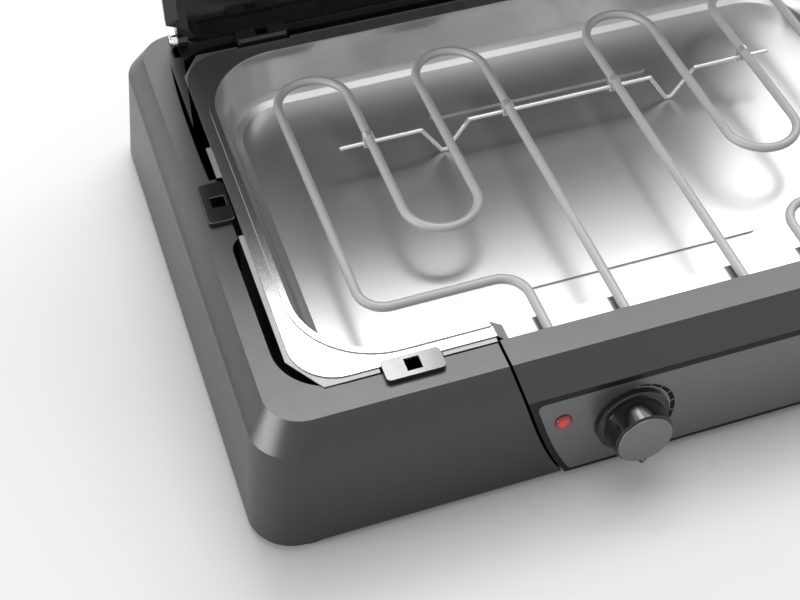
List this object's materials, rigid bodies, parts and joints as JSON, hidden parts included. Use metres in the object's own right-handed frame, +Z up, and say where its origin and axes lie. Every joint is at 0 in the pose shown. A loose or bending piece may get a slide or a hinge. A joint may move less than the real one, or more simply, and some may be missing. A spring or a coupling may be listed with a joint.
{
  "type": "electric countertop grill with hinged lid",
  "caption": "Low rectangular electric grill with a steel water tray, looped heating tubes, front control unit with knob, and a lid standing open on lift-out hinges.",
  "frame": {"origin": "On the table, under the middle of the base", "axes": "+X to the right seen from the controls, +Y to the hinge side, +Z up"},
  "size_m": [0.594, 0.4564, 0.466],
  "materials": {
    "housing_plastic": "fine satin moulded black",
    "base_plastic": "plain moulded black",
    "foot_rubber": "matte",
    "screw_steel": "zinc plated",
    "shield_sheet": "light grey rolled sheet",
    "tray_steel": "bright stainless sheet",
    "rest_plastic": "glossy heat-proof black",
    "unit_plastic": "fine satin moulded black",
    "frame_plastic": "glossy black border",
    "panel_steel": "brushed across, dark grey",
    "lamp_red": "clear red lens",
    "part_steel": "plain",
    "ceramic": "off-white ceramic",
    "tube_steel": "satin grey heating tube",
    "wire_steel": "bright wire",
    "knob_plastic": "high gloss black",
    "knob_cap": "satin grey metal look",
    "hinge_steel": "polished",
    "lid_coating": "pressed aluminium with a glossy black coat",
    "grip_plastic": "heat-proof black"
  },
  "bodies": {
    "base": {"housing": "housing_plastic", "bottom_plate": "base_plastic", "feet": "foot_rubber", "bottom_screws": "screw_steel", "heat_shield": "shield_sheet", "shield_screws": "screw_steel", "water_tray": "tray_steel", "side_rest_left": "rest_plastic", "side_rest_right": "rest_plastic", "front_rest_left": "rest_plastic", "front_rest_right": "rest_plastic", "rear_rest_left": "rest_plastic", "rear_rest_right": "rest_plastic", "unit_case": "unit_plastic", "unit_rear_cover": "base_plastic", "unit_screws": "screw_steel", "panel_frame": "frame_plastic", "panel_plate": "panel_steel", "lamp_lens": "lamp_red", "lamp_holder": "base_plastic", "thermostat": "part_steel", "terminal_block": "ceramic", "safety_switch": "base_plastic", "tube_bracket": "part_steel", "tube_terminals": "ceramic", "heating_loop_left": "tube_steel", "heating_loop_right": "tube_steel", "support_wire": "wire_steel", "wire_straps": "wire_steel", "cord_gland": "base_plastic"},
    "knob": {"knob": "knob_plastic", "knob_face": "knob_cap", "thermostat_shaft": "part_steel"},
    "lid_carrier": {"hinge_leaf_left": "hinge_steel", "hinge_leaf_right": "hinge_steel", "hinge_pin_left": "hinge_steel", "hinge_pin_right": "hinge_steel"},
    "lid": {"lid_shell": "lid_coating", "grip_posts": "grip_plastic", "lid_grip": "grip_plastic", "grip_screws": "screw_steel"}
  },
  "joints": [
    {"name": "knob_turn", "type": "hinge", "parent": "base", "child": "knob", "pos_m": [-0.049, -0.20537, 0.04082], "axis": [0, 0.9949, -0.1008], "range_deg": [0, 300]},
    {"name": "lid_lift", "type": "slide", "parent": "base", "child": "lid_carrier", "axis": [0, 0, 1], "range_m": [0, 0.025]},
    {"name": "lid_hinge", "type": "hinge", "parent": "lid_carrier", "child": "lid", "pos_m": [0, 0.171, 0.11], "axis": [1, 0, 0], "range_deg": [0, 90]}
  ]
}
